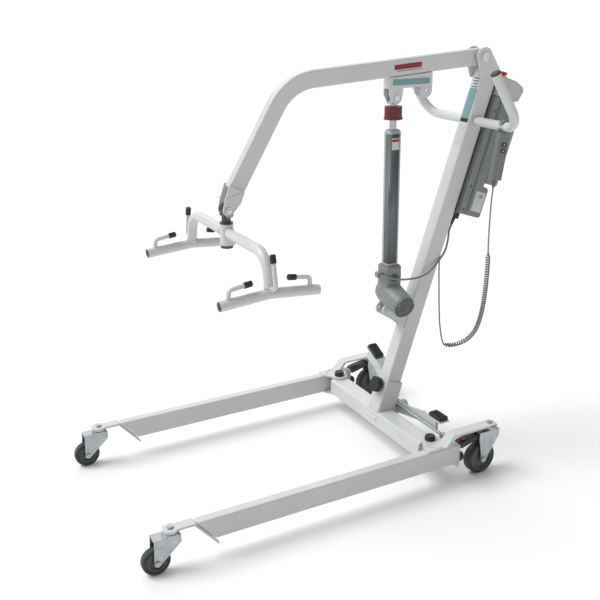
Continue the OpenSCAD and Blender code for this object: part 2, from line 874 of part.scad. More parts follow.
module boom_clevis() {
    nose_z = boom_arm;
    color("gainsboro") base() difference() {
        both_sides() translate([boom_w / 2 + 2.2, 0, 0]) slab_x(4.4) {
            translate([hang_y, hang_z]) circle(16);
            polygon([[-521, 906], [-478, 880], [-490, 852], [hang_y + 11, hang_z - 11],
                [hang_y - 15, hang_z + 5], [-537, 858]]);
        }
        translate([0, hang_y, hang_z]) rod_x(hang_pin_r, 80);
    }
}

module bracket_side() {
    translate([top_y, top_z]) circle(18);
    translate([lug_hole_y, lug_hole_z]) circle(20);
    polygon([[-19, 1190], [-19, 1108], [top_y - 16, top_z - 8], [top_y + 18, top_z],
        [27, 1127], [90, 1127], [lug_hole_y, lug_hole_z], [128, lug_hole_z], [128, 1200]]);
}

module boom_bracket() {
    color("gainsboro") difference() {
        base() difference() {
            union() {
                slab_x(34) bracket_side();
            }
            translate([-12.2, -14, 1000]) cube([24.4, 200, 148]);
            translate([-12.2, -30, 1000]) cube([24.4, 30, 126]);
            translate([0, top_y, top_z]) rod_x(act_pin_r, 80);
            translate([0, lug_hole_y, lug_hole_z]) rod_x(lug_hole_r, 80);
        }
        on_boom() translate([-30, -500, -boom_d / 2]) cube([60, 600, 100]);
    }
}

// Pins fixed in the boom: two stubs of the lift pin, and the hanger pin
module boom_pins() {
    color("silver") base() {
        translate([0, top_y, top_z]) both_sides() {
            rod_x(act_pin_r, 6.5, 12.4);
            rod_x(9, 2.5, 17.1);
        }
        translate([-20.5, top_y, top_z - 9]) split_ring(11, 1);
        translate([0, hang_y, hang_z]) {
            rod_x(hang_pin_r, 46);
            rod_x(9, 3, boom_w / 2 + 4.6);
            translate([25, 0, -8]) split_ring(11, 1);
        }
        translate([boom_w / 2 + 4.4, hang_y, hang_z]) rod_x(4, 7, 0);
    }
}

// ---- actuator ----

module actuator_tube() {
    color("silver") on_actuator() difference() {
        union() {
            translate([0, 0, 142]) linear_extrude(403) rounded(38, 38, 6);
            translate([0, 0, 545]) linear_extrude(4) rounded(36, 36, 8);
            translate([0, 0, 549]) linear_extrude(3) rounded(32, 32, 9);
        }
        translate([0, 0, 250]) cylinder(r = 14, h = 290);
        translate([0, 0, 530]) cylinder(r = rod_r + fit, h = 40);
        both_sides() translate([19, 0, 346]) cube([3, 22, 392], center = true);
    }
}

module gear_shape() {
    translate([0, 0, 76]) linear_extrude(62) rounded(56, 56, 10);
    translate([0, 0, 138]) linear_extrude(4) rounded(50, 50, 8);
    translate([-12, -16, 0]) cube([24, 32, 80]);
    rod_x(16, 24);
}

module gear_housing() {
    color("gray") {
        on_actuator() difference() {
            gear_shape();
            rod_x(act_pin_r + fit, 60);
            both_sides() translate([28, 0, 106]) rotate([0, 90, 0]) cylinder(r = 14, h = 3, center = true);
        }
        base() difference() {
            translate([gland_x - 18, -34, 565]) cube([18, 24, 16]);
            on_actuator_local() gear_shape();
        }
    }
    color("silver") base() translate([0, foot_y, foot_z]) rod_x(act_pin_r, 34);
}

module on_actuator_local() {
    translate([0, foot_y, foot_z]) rotate([act_tilt, 0, 0]) children();
}

module motor_housing() {
    color("gray") difference() {
        base() {
            hull() {
                translate([-6, foot_y, foot_z + 50]) sphere(r = 37, $fn = 40);
                translate([74, foot_y, foot_z + 24]) rod_x(30, 4, 0, $fn = 40);
            }
            translate([78, foot_y, foot_z + 22]) rod_x(27, 7, 0);
        }
        on_actuator() gear_shape();
        base() translate([-20.8, -40, 420]) cube([41.6, 160, 65]);
        on_mast() translate([-100, -mast_d / 2 - 8, 200]) cube([200, 100, 400]);
    }
}

module piston_rod() {
    color("silver") on_actuator() {
        difference() {
            union() {
                translate([0, 0, 256]) cylinder(r = rod_r, h = 368);
                translate([-11, -11, 624]) cube([22, 22, act_len - 624]);
                translate([0, 0, act_len]) rod_x(11, 22);
            }
            translate([0, 0, act_len]) rod_x(act_pin_r + 0.5, 60);
        }
    }
}

module release_collar() {
    color("darkred") on_actuator() difference() {
        translate([0, 0, 581]) rotate_extrude() {
            translate([rod_r + fit, 0]) square([15, 37]);
            translate([20, 0]) square([7.5, 5]);
            polygon([[18, 4], [25.5, 4], [22.5, 35], [20, 37], [18, 37]]);
        }
        for (a = [0:24:336]) {
            rotate(a) translate([26, 0, 586.5]) cylinder(r = 1.6, h = 40, $fn = 16);
        }
    }
}

// ---- hanger and spreader ----

module hanger_stud() {
    color("dimgray") base() translate([0, hang_y, 0]) {
        difference() {
            union() {
                translate([-14.6, -13, hang_z - 18]) cube([29.2, 26, 18]);
                translate([0, 0, hang_z]) rod_x(13, 29.2);
                translate([0, 0, 801]) cylinder(r = 12.5, h = 20);
            }
            translate([0, 0, hang_z]) rod_x(hang_pin_r + fit, 60);
        }
        translate([0, 0, 797.4]) cylinder(r = 18.5, h = 3.6);
        translate([0, 0, 734]) cylinder(r = stud_r, h = 66);
        translate([0, 0, 730]) cylinder(r = 17, h = 8);
    }
}

module hub_shape(r) {
    translate([0, hang_y, 738.4]) cylinder(r = r, h = 58.6);
}

module spreader_hub() {
    color("gainsboro") base() difference() {
        hub_shape(19);
        hub_shape(stud_r + fit);
        translate([0, hang_y, 700]) cylinder(r = stud_r + fit, h = 120);
    }
}

// Bent tube from the hub out and down to a sling bar
module spreader_arm() {
    side_drop = main_z - bar_z - main_bend * (1 - cos(main_turn));
    start = bar_x - main_bend * sin(main_turn) - side_drop / tan(main_turn);
    rotate([90, 0, 90]) linear_extrude(start) tube_ring(main_r, 2.5);
    translate([start, 0, -main_bend]) rotate([90, 0, 0]) {
        rotate([0, 0, 90 - main_turn]) rotate_extrude(angle = main_turn, $fn = 96)
            translate([main_bend, 0]) tube_ring(main_r, 2.5);
    }
    translate([start, 0, -main_bend]) rotate([0, main_turn, 0]) translate([0, 0, main_bend])
        rotate([90, 0, 90]) linear_extrude(side_drop / sin(main_turn)) tube_ring(main_r, 2.5);
}

// Half of a sling bar, cut square to the other half at the middle
module bar_half_shape(r, len) {
    intersection() {
        rotate([bar_tilt, 0, 0]) rotate([90, 0, 0]) translate([0, 0, -6]) cylinder(r = r, h = len + 6);
        translate([-40, -300, -60]) cube([80, 300, 120]);
    }
}

// Both halves of the sling bar on the +X side
module bar_shape(r, len) {
    translate([bar_x, hang_y, bar_z]) {
        bar_half_shape(r, len);
        mirror([0, 1, 0]) bar_half_shape(r, len);
    }
}

module spreader_frame() {
    color("gainsboro") base() difference() {
        translate([0, hang_y, main_z]) both_sides() spreader_arm();
        hub_shape(19);
        both_sides() bar_shape(bar_d / 2, bar_half);
    }
}

module sling_bars() {
    color("gainsboro") base() both_sides() difference() {
        bar_shape(bar_d / 2, bar_half);
        bar_shape(bar_d / 2 - 2.5, bar_half + eps);
    }
}

// Hook rod standing on a sling bar, its tip turned to the bar's middle
module end_hook(tip) {
    rise = 37;
    bend = 12;
    run = 40;
    translate([0, -hook_at, -hook_at * sin(bar_tilt)]) {
        if (!tip) {
            cylinder(r = hook_r, h = rise - bend);
            translate([0, bend, rise - bend]) rotate([90, 0, -90]) rotate([0, 0, 0])
                rotate_extrude(angle = 82) translate([bend, 0]) circle(hook_r, $fn = 32);
        }
        translate([0, bend, rise - bend]) rotate([8, 0, 0]) translate([0, 0, bend]) {
            if (!tip) {
                rod_y(hook_r, run);
            } else {
                translate([0, run - 8, 0]) difference() {
                    union() {
                        rod_y(8, 20);
                        translate([0, 20, 0]) rod_y(6.5, 2);
                    }
                    translate([0, -eps, 0]) rod_y(hook_r, 8 + eps);
                }
            }
        }
    }
}

// Upright hook on the outer side of a sling bar's middle
module side_hook(tip) {
    bend = 16;
    reach = 7;
    lean = 12;
    translate([reach, 0, 16]) {
        if (!tip) {
            rod_x(hook_r, reach + 8, -reach);
        }
        translate([8, 0, bend]) {
            if (!tip) {
                rotate([90, 0, 0]) rotate([0, 0, -90]) rotate_extrude(angle = 90 + lean)
                    translate([bend, 0]) circle(hook_r, $fn = 32);
            }
            rotate([0, -lean, 0]) translate([bend, 0, 0]) {
                if (!tip) {
                    cylinder(r = hook_r, h = 58);
                } else {
                    translate([0, 0, 50]) difference() {
                        union() {
                            cylinder(r = 8, h = 20);
                            translate([0, 0, 20]) cylinder(r = 6.5, h = 2);
                        }
                        translate([0, 0, -eps]) cylinder(r = hook_r, h = 8 + eps);
                    }
                }
            }
        }
    }
}

module hooks(tip) {
    translate([bar_x, hang_y, bar_z]) {
        end_hook(tip);
        mirror([0, 1, 0]) end_hook(tip);
        side_hook(tip);
    }
}

module sling_hooks() {
    color("gainsboro") base() both_sides() difference() {
        hooks(false);
        bar_shape(bar_d / 2, bar_half);
        translate([bar_x, hang_y, bar_z]) rotate([0, 90 + main_turn, 0]) translate([0, 0, -60])
            cylinder(r = main_r, h = 60);
    }
}

module spreader_caps() {
    color("black") base() both_sides() {
        hooks(true);
        difference() {
            bar_shape(bar_d / 2 - 2.5, bar_half + 1.5);
            bar_shape(bar_d / 2 + 1, bar_half - 12);
        }
    }
}

// ---- what is drawn ----

cross_beam();
mast_socket();
mast_tube();
mast_head();
foot_bracket();
boom_pivot_bolt();
push_handle();
box_mount();
control_box();
handset();
cable_plugs();
motor_cable();
handset_cord();
handset_coil();
leg_pivot_bolts();
pedal_rocker();
pedal_pads();
left_link();
right_link();
left_leg_tube();
left_leg_plates();
left_castor_bolts();
right_leg_tube();
right_leg_plates();
right_castor_bolts();
front_left_fork();
front_left_tyre();
front_left_hub();
front_right_fork();
front_right_tyre();
front_right_hub();
rear_left_fork();
rear_left_tyre();
rear_left_hub();
rear_left_brake();
rear_right_fork();
rear_right_tyre();
rear_right_hub();
rear_right_brake();
boom_tube();
boom_clevis();
boom_bracket();
boom_pins();
piston_rod();
release_collar();
actuator_tube();
gear_housing();
motor_housing();
hanger_stud();
spreader_hub();
spreader_frame();
sling_bars();
sling_hooks();
spreader_caps();
battery_pack();
emergency_stop();
up_button();
down_button();
mast_lock_knob();
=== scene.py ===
"""Patient lift hoist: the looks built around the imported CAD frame."""

import json
import math

import bmesh
import bpy
from mathutils import Matrix, Vector

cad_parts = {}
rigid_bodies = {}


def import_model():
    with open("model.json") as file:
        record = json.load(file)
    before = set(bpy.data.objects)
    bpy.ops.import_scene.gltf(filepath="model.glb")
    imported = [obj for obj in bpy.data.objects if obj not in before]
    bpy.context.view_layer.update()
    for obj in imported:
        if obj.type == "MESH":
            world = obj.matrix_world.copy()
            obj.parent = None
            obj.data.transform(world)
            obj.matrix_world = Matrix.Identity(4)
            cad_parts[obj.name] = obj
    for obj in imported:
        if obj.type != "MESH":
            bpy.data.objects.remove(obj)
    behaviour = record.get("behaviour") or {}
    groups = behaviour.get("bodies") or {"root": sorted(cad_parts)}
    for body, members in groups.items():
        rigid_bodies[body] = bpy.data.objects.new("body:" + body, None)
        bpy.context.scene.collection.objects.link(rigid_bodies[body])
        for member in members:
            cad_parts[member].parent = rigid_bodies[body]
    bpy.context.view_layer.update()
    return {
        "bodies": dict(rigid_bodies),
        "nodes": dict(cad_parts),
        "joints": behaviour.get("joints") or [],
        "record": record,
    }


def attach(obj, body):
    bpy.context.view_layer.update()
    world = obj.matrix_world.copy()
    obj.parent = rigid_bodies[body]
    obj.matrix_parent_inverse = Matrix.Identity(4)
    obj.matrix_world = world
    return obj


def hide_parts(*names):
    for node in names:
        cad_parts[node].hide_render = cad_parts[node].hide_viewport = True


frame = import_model()
NODES = frame["nodes"]

# ---- driving dimensions, in metres, as in the CAD source ----

Y_SHIFT = 0.2297  # the CAD's leg pivots stand this far behind the row frame's origin
MAST_LEAN = math.radians(18.1)
MAST_Z = 0.116
FOOT = Vector((0, 0.015 + Y_SHIFT, 0.458))
TOP_PIN = Vector((0, 0.006 + Y_SHIFT, 1.101))
HANG = Vector((0, -0.526 + Y_SHIFT, 0.836))
LEG_X = 0.307
LEG_TOP = 0.120
REAR_REACH = 0.187
REAR_TOP = 0.151
SIDES = ((1, "left"), (-1, "right"))
BAR_X = 0.258
BAR_Z = 0.676
HANDLE_V = 0.947


def row(x, y, z):
    """A point given from the leg pivots, in the row frame."""
    return Vector((x, y + Y_SHIFT, z))


def on_mast(x, u, v):
    """A point on the leaning mast: u rearward of its centre line, v along it."""
    s, c = math.sin(MAST_LEAN), math.cos(MAST_LEAN)
    return row(x, v * s + u * c, MAST_Z + v * c - u * s)


MAST_FRAME = Matrix.Translation(row(0, 0, MAST_Z)) @ Matrix.Rotation(-MAST_LEAN, 4, "X")
ACT_DIR = (TOP_PIN - FOOT).normalized()
ACT_FRAME = Matrix.Translation(FOOT) @ Matrix.Rotation(math.atan2(-ACT_DIR.y, ACT_DIR.z), 4, "X")

# ---- materials ----


def nodes_of(name):
    """A new material with its shader, and helpers to add nodes to it."""
    m = bpy.data.materials.new(name)
    m.use_nodes = True
    tree = m.node_tree
    return m, tree, tree.nodes["Principled BSDF"]


def noise(tree, scale, detail=4.0, rough=0.55):
    """A noise texture in the object's own space, in metres."""
    where = tree.nodes.new("ShaderNodeTexCoord")
    tex = tree.nodes.new("ShaderNodeTexNoise")
    tex.inputs["Scale"].default_value = scale
    tex.inputs["Detail"].default_value = detail
    tex.inputs["Roughness"].default_value = rough
    tree.links.new(where.outputs["Object"], tex.inputs["Vector"])
    return tex


def ramp(tree, source, stops):
    """A colour ramp over a value: stops are (place, colour or grey)."""
    r = tree.nodes.new("ShaderNodeValToRGB")
    elements = r.color_ramp.elements
    while len(elements) < len(stops):
        elements.new(0.5)
    for e, (at, c) in zip(elements, stops):
        e.position = at
        e.color = (c, c, c, 1) if isinstance(c, float) else (*c, 1)
    tree.links.new(source, r.inputs["Fac"])
    return r


def mix(tree, fac, a, b, blend="MIX"):
    """Mixes two colours; each is a socket or a tuple."""
    n = tree.nodes.new("ShaderNodeMix")
    n.data_type = "RGBA"
    n.blend_type = blend
    for key, value in ((0, fac), (6, a), (7, b)):
        socket = n.inputs[key]
        if isinstance(value, bpy.types.NodeSocket):
            tree.links.new(value, socket)
        elif isinstance(value, tuple):
            socket.default_value = (*value, 1)
        else:
            socket.default_value = value
    return n.outputs[2]


def bump(tree, shader, height, distance, strength=1.0, edge=0.0):
    """Bumps the shader by a height, over corners softened by a small radius."""
    b = tree.nodes.new("ShaderNodeBump")
    b.inputs["Distance"].default_value = distance
    b.inputs["Strength"].default_value = strength
    tree.links.new(height, b.inputs["Height"])
    if edge:
        soft = tree.nodes.new("ShaderNodeBevel")
        soft.samples = 6
        soft.inputs["Radius"].default_value = edge
        tree.links.new(soft.outputs["Normal"], b.inputs["Normal"])
    tree.links.new(b.outputs["Normal"], shader.inputs["Normal"])


def edge_mask(tree, radius):
    """1 on corners and 0 on flats, from how far the softened normal leans from the true one."""
    soft = tree.nodes.new("ShaderNodeBevel")
    soft.samples = 6
    soft.inputs["Radius"].default_value = radius
    geo = tree.nodes.new("ShaderNodeNewGeometry")
    dot = tree.nodes.new("ShaderNodeVectorMath")
    dot.operation = "DOT_PRODUCT"
    tree.links.new(soft.outputs["Normal"], dot.inputs[0])
    tree.links.new(geo.outputs["Normal"], dot.inputs[1])
    return ramp(tree, dot.outputs["Value"], [(0.70, 1.0), (0.985, 0.0)]).outputs["Color"]


def painted(name, colour, rough=0.36, wear=0.22):
    """Powder coat: a fine orange peel, faint clouding, and corners worn a little paler."""
    m, tree, s = nodes_of(name)
    cloud = noise(tree, 9, 5)
    shade = ramp(tree, cloud.outputs["Fac"], [(0.3, tuple(0.94 * c for c in colour)), (0.7, colour)])
    worn = edge_mask(tree, 0.0022)
    paler = tuple(min(1.0, c * 1.12 + 0.03) for c in colour)
    scuff = noise(tree, 60, 6)
    patches = ramp(tree, scuff.outputs["Fac"], [(0.42, 0.0), (0.62, wear)])
    where = mix(tree, patches.outputs["Color"], (0, 0, 0), worn)
    tree.links.new(mix(tree, where, shade.outputs["Color"], paler), s.inputs["Base Color"])
    peel = noise(tree, 620, 2)
    grime = noise(tree, 24, 6)
    r = ramp(tree, grime.outputs["Fac"], [(0.3, rough - 0.05), (0.75, rough + 0.09)])
    tree.links.new(r.outputs["Color"], s.inputs["Roughness"])
    s.inputs["Coat Weight"].default_value = 0.25
    s.inputs["Coat Roughness"].default_value = 0.22
    bump(tree, s, peel.outputs["Fac"], 0.00012, 0.55, edge=0.0016)
    return m


def plastic(name, colour, rough=0.5, grain=900.0, depth=0.00012, edge=0.0012, variation=0.12):
    """Moulded plastic with a fine spark-eroded grain."""
    m, tree, s = nodes_of(name)
    cloud = noise(tree, 14, 4)
    low = tuple(c * (1 - variation) for c in colour)
    shade = ramp(tree, cloud.outputs["Fac"], [(0.32, low), (0.68, colour)])
    paler = tuple(min(1, c * 1.35 + 0.02) for c in colour)
    rubbed = mix(tree, edge_mask(tree, edge * 1.6), shade.outputs["Color"], paler)
    tree.links.new(rubbed, s.inputs["Base Color"])
    hand = noise(tree, 32, 5)
    r = ramp(tree, hand.outputs["Fac"], [(0.3, rough - 0.08), (0.7, rough + 0.08)])
    tree.links.new(r.outputs["Color"], s.inputs["Roughness"])
    fine = noise(tree, grain, 3)
    bump(tree, s, fine.outputs["Fac"], depth, 0.6, edge=edge)
    return m


def rubber(name, colour, rough=0.72):
    """Rubber with dust in its grain."""
    m, tree, s = nodes_of(name)
    dust = noise(tree, 46, 7, 0.65)
    shade = ramp(tree, dust.outputs["Fac"], [(0.35, colour), (0.8, tuple(c * 1.9 + 0.012 for c in colour))])
    tree.links.new(shade.outputs["Color"], s.inputs["Base Color"])
    s.inputs["Roughness"].default_value = rough
    s.inputs["Sheen Weight"].default_value = 0.12
    fine = noise(tree, 700, 4)
    bump(tree, s, fine.outputs["Fac"], 0.00018, 0.7, edge=0.0014)
    return m


def metal(name, colour, rough=0.34, streak=(1.0, 1.0, 1.0), edge=0.0008, spangle=0.0):
    """Plated or drawn metal: streaks along one direction, with faint clouding."""
    m, tree, s = nodes_of(name)
    s.inputs["Metallic"].default_value = 1.0
    where = tree.nodes.new("ShaderNodeTexCoord")
    stretch = tree.nodes.new("ShaderNodeMapping")
    stretch.inputs["Scale"].default_value = streak
    tex = tree.nodes.new("ShaderNodeTexNoise")
    tex.inputs["Scale"].default_value = 260
    tex.inputs["Detail"].default_value = 5
    tree.links.new(where.outputs["Object"], stretch.inputs["Vector"])
    tree.links.new(stretch.outputs["Vector"], tex.inputs["Vector"])
    cloud = noise(tree, 40, 4)
    low = tuple(c * (0.86 - spangle) for c in colour)
    shade = ramp(tree, cloud.outputs["Fac"], [(0.3, low), (0.7, colour)])
    tree.links.new(shade.outputs["Color"], s.inputs["Base Color"])
    r = ramp(tree, tex.outputs["Fac"], [(0.3, rough - 0.08), (0.7, rough + 0.1)])
    tree.links.new(r.outputs["Color"], s.inputs["Roughness"])
    bump(tree, s, tex.outputs["Fac"], 0.00005, 0.4, edge=edge)
    return m


PAINT = painted("frame_paint", (0.600, 0.615, 0.615))
WELD = painted("weld_paint", (0.560, 0.575, 0.575), rough=0.42, wear=0.1)
ZINC = metal("zinc", (0.50, 0.53, 0.545), 0.42, spangle=0.12)
STEEL = metal("bright_steel", (0.62, 0.64, 0.65), 0.26)
CHROME = metal("polished_rod", (0.42, 0.43, 0.44), 0.16, streak=(1, 1, 0.08))
BLACK = plastic("black_plastic", (0.012, 0.013, 0.014), 0.46)
HUB = plastic("hub_plastic", (0.075, 0.08, 0.085), 0.5)
TYRE = rubber("tyre_rubber", (0.016, 0.017, 0.018), 0.62)
PAD = rubber("pad_rubber", (0.010, 0.010, 0.011), 0.66)
BRAKE = plastic("brake_plastic", (0.015, 0.015, 0.016), 0.48)
BRAKE_RED = plastic("brake_mark", (0.30, 0.012, 0.016), 0.5)
TUBE = painted("actuator_coat", (0.380, 0.400, 0.410), 0.40, 0.15)
MOTOR = plastic("motor_plastic", (0.225, 0.238, 0.242), 0.44)
# Painted shade: a dark grey for strips that stand in for the shade on the actuator tube's side faces.
TUBE_SHADE = plastic("tube_painted_shade", (0.095, 0.106, 0.112), 0.48)
MOTOR_CAP = plastic("motor_cap", (0.085, 0.094, 0.098), 0.46)
RED = plastic("collar_red", (0.150, 0.010, 0.014), 0.36, depth=0.00006)
STOP = plastic("stop_red", (0.560, 0.012, 0.010), 0.30, depth=0.00003)
YELLOW = plastic("stop_ring", (0.560, 0.330, 0.015), 0.42)
ORANGE = plastic("seal_orange", (0.480, 0.085, 0.012), 0.46)
STUD = metal("stud_dark", (0.10, 0.105, 0.11), 0.42)
BOX = plastic("box_grey", (0.205, 0.218, 0.222), 0.52)
BOX_HEAD = plastic("box_head", (0.470, 0.485, 0.490), 0.48)
BATTERY = plastic("battery_grey", (0.245, 0.258, 0.262), 0.50)
HANDSET = plastic("handset_grey", (0.175, 0.187, 0.192), 0.50)
BUTTON = plastic("button_dark", (0.025, 0.028, 0.030), 0.42)
CORD = plastic("cord_sheath", (0.215, 0.228, 0.232), 0.42, depth=0.00005, edge=0.0)
LABEL = plastic("label_plain", (0.560, 0.575, 0.575), 0.34, depth=0.00002, edge=0.0, variation=0.03)
LABEL_TEAL = plastic("label_teal", (0.175, 0.330, 0.335), 0.36, depth=0.00002, edge=0.0, variation=0.05)
# Painted shade: near-black for seam lines that stand in for the shade inside the shells' gaps.
SEAM_SHADE = plastic("painted_seam_shade", (0.008, 0.008, 0.009), 0.8)

CAD_LOOKS = {
    PAINT: ["cross_beam", "mast_socket", "mast_tube", "mast_head", "foot_bracket", "push_handle",
            "pedal_rocker", "left_leg_tube", "left_leg_plates", "right_leg_tube", "right_leg_plates",
            "boom_tube", "boom_clevis", "boom_bracket", "spreader_hub", "spreader_frame",
            "sling_bars", "sling_hooks"],
    ZINC: ["front_left_fork", "front_right_fork", "rear_left_fork", "rear_right_fork",
           "left_castor_bolts", "right_castor_bolts", "left_link", "right_link"],
    STEEL: ["boom_pivot_bolt", "boom_pins"],
    CHROME: ["piston_rod"],
    BLACK: ["leg_pivot_bolts", "mast_lock_knob", "spreader_caps", "cable_plugs", "box_mount"],
    BRAKE: ["rear_left_brake", "rear_right_brake"],
    PAD: ["pedal_pads"],
    TYRE: ["front_left_tyre", "front_right_tyre", "rear_left_tyre", "rear_right_tyre"],
    HUB: ["front_left_hub", "front_right_hub", "rear_left_hub", "rear_right_hub"],
    TUBE: ["actuator_tube"],
    MOTOR: ["gear_housing", "motor_housing"],
    RED: ["release_collar"],
    STUD: ["hanger_stud"],
    BOX: ["control_box"],
    BATTERY: ["battery_pack"],
    HANDSET: ["handset"],
    BUTTON: ["up_button", "down_button"],
    STOP: ["emergency_stop"],
    CORD: ["motor_cable", "handset_cord", "handset_coil"],
}
for look, names in CAD_LOOKS.items():
    for name in names:
        slots = NODES[name].data.materials
        slots.clear()
        slots.append(look)

# ---- mesh helpers ----


def mesh_piece(name, bm, material, body, smooth=True):
    """Makes an object from a bmesh, and lets it ride on a body."""
    data = bpy.data.meshes.new(name)
    bmesh.ops.recalc_face_normals(bm, faces=bm.faces)
    bm.to_mesh(data)
    bm.free()
    if smooth:
        data.shade_smooth()
    data.materials.append(material)
    o = bpy.data.objects.new(name, data)
    bpy.context.scene.collection.objects.link(o)
    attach(o, body)
    return o


def bevelled(o, width, segments=3):
    """Rounds a piece's corners."""
    m = o.modifiers.new("round", "BEVEL")
    m.width = width
    m.segments = segments
    m.limit_method = "ANGLE"
    m.angle_limit = math.radians(30)
    m.harden_normals = True
    return o


def bored(o, cutter):
    """Cuts a bmesh out of a piece, after its other modifiers."""
    data = bpy.data.meshes.new("cutter")
    cutter.to_mesh(data)
    cutter.free()
    tool = bpy.data.objects.new("cutter", data)
    bpy.context.scene.collection.objects.link(tool)
    cut = o.modifiers.new("cut", "BOOLEAN")
    cut.object = tool
    bpy.context.view_layer.update()
    done = bpy.data.meshes.new_from_object(o.evaluated_get(bpy.context.evaluated_depsgraph_get()))
    o.modifiers.clear()
    o.data = done
    bpy.data.objects.remove(tool)
    return o


def lathe(points, turns=48):
    """A bmesh turned about Z from (radius, height) points."""
    bm = bmesh.new()
    rings = []
    for r, z in points:
        if r < 1e-6:
            rings.append([bm.verts.new((0, 0, z))])
        else:
            steps = [2 * math.pi * k / turns for k in range(turns)]
            rings.append([bm.verts.new((r * math.cos(a), r * math.sin(a), z)) for a in steps])
    for low, high in zip(rings, rings[1:]):
        for k in range(turns):
            n = (k + 1) % turns
            corners = [low[k % len(low)], low[n % len(low)], high[n % len(high)], high[k % len(high)]]
            bm.faces.new(list(dict.fromkeys(corners)))
    return bm


def slab(outline, x0, x1):
    """A bmesh of a (y, z) outline drawn out from x0 to x1."""
    bm = bmesh.new()
    near = [bm.verts.new((x0, y, z)) for y, z in outline]
    far = [bm.verts.new((x1, y, z)) for y, z in outline]
    bm.faces.new(near)
    bm.faces.new(far)
    for k in range(len(outline)):
        n = (k + 1) % len(outline)
        bm.faces.new((near[k], near[n], far[n], far[k]))
    return bm


def moved(bm, matrix):
    bm.transform(matrix)
    return bm


def aim(point, direction, roll=0.0):
    """A frame at a point with Z along a direction."""
    turn = Vector(direction).to_track_quat("Z", "Y").to_matrix().to_4x4()
    return Matrix.Translation(point) @ turn @ Matrix.Rotation(roll, 4, "Z")


def tube_curve(name, points, radius, material, body, sides=4, closed=False):
    """A round tube along a list of points."""
    data = bpy.data.curves.new(name, "CURVE")
    data.dimensions = "3D"
    data.bevel_depth = radius
    data.bevel_resolution = sides
    data.use_fill_caps = True
    line = data.splines.new("POLY")
    line.points.add(len(points) - 1)
    for p, q in zip(line.points, points):
        p.co = (*q, 1)
    line.use_cyclic_u = closed
    line.use_smooth = True
    data.materials.append(material)
    o = bpy.data.objects.new(name, data)
    bpy.context.scene.collection.objects.link(o)
    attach(o, body)
    return o


def smooth_route(points, steps):
    """A Catmull-Rom curve through given points, as in the CAD source."""
    out = []
    last = len(points) - 1
    for i in range(last):
        p0, p1 = points[max(i - 1, 0)], points[i]
        p2, p3 = points[i + 1], points[min(i + 2, last)]
        for k in range(steps):
            t = k / steps
            out.append(0.5 * (2 * p1 + (p2 - p0) * t + (2 * p0 - 5 * p1 + 4 * p2 - p3) * t * t
                              + (3 * p1 - p0 - 3 * p2 + p3) * t * t * t))
    return out + [points[-1]]


def length_of(points):
    """The length of a line of points."""
    return sum((b - a).length for a, b in zip(points, points[1:]))


# ---- camera, floor and light ----


def make_camera():
    """The camera at the photo's angle, fitted to the hoist's straight edges."""
    data = bpy.data.cameras.new("camera")
    data.lens = 52.88
    data.sensor_width = 36
    data.clip_end = 1000
    o = bpy.data.objects.new("camera", data)
    o.location = row(2.1207, -1.4635, 1.4088)
    o.rotation_euler = (math.radians(90 - 19.80), 0, math.radians(61.23))
    bpy.context.scene.collection.objects.link(o)
    bpy.context.scene.camera = o


def make_floor():
    bm = bmesh.new()
    half = 150
    corners = [(-half, -half, 0), (half, -half, 0), (half, half, 0), (-half, half, 0)]
    bm.faces.new([bm.verts.new(c) for c in corners])
    data = bpy.data.meshes.new("floor")
    bm.to_mesh(data)
    bm.free()
    m, tree, s = nodes_of("floor_pale")
    soft = noise(tree, 1.2, 3)
    shade = ramp(tree, soft.outputs["Fac"], [(0.3, 0.90), (0.7, 0.92)])
    tree.links.new(shade.outputs["Color"], s.inputs["Base Color"])
    s.inputs["Roughness"].default_value = 0.9
    s.inputs["Specular IOR Level"].default_value = 0.1
    data.materials.append(m)
    o = bpy.data.objects.new("floor", data)
    bpy.context.scene.collection.objects.link(o)


def make_sun(name, direction, strength, spread):
    data = bpy.data.lights.new(name, "SUN")
    data.energy = strength
    data.angle = math.radians(spread)
    o = bpy.data.objects.new(name, data)
    o.rotation_euler = Vector(direction).to_track_quat("-Z", "Y").to_euler()
    bpy.context.scene.collection.objects.link(o)


def make_world():
    """A soft sky, a little brighter on the hoist's far and front sides."""
    world = bpy.data.worlds.new("studio")
    world.use_nodes = True
    tree = world.node_tree
    where = tree.nodes.new("ShaderNodeTexCoord")
    along = tree.nodes.new("ShaderNodeVectorMath")
    along.operation = "DOT_PRODUCT"
    along.inputs[1].default_value = (-0.75, -0.45, 0.50)
    tree.links.new(where.outputs["Generated"], along.inputs[0])
    sky = ramp(tree, along.outputs["Value"], [(0.0, 0.62), (0.8, 1.0)])
    back = tree.nodes["Background"]
    tree.links.new(sky.outputs["Color"], back.inputs["Color"])
    back.inputs["Strength"].default_value = 0.62
    bpy.context.scene.world = world


make_camera()
make_floor()
make_world()
make_sun("key", (0.34, 0.60, -0.92), 2.3, 38)
make_sun("rim", (0.85, -0.25, -0.60), 0.5, 50)
bpy.context.scene.view_settings.view_transform = "Standard"

# ---- cords ----

PLUG_A = on_mast(0, 0.050, 0.626)
PLUG_B = PLUG_A + Vector((-0.022, 0, 0))
GLAND = row(0.0095, -0.025, 0.573)
HANDSET_X = 0.150

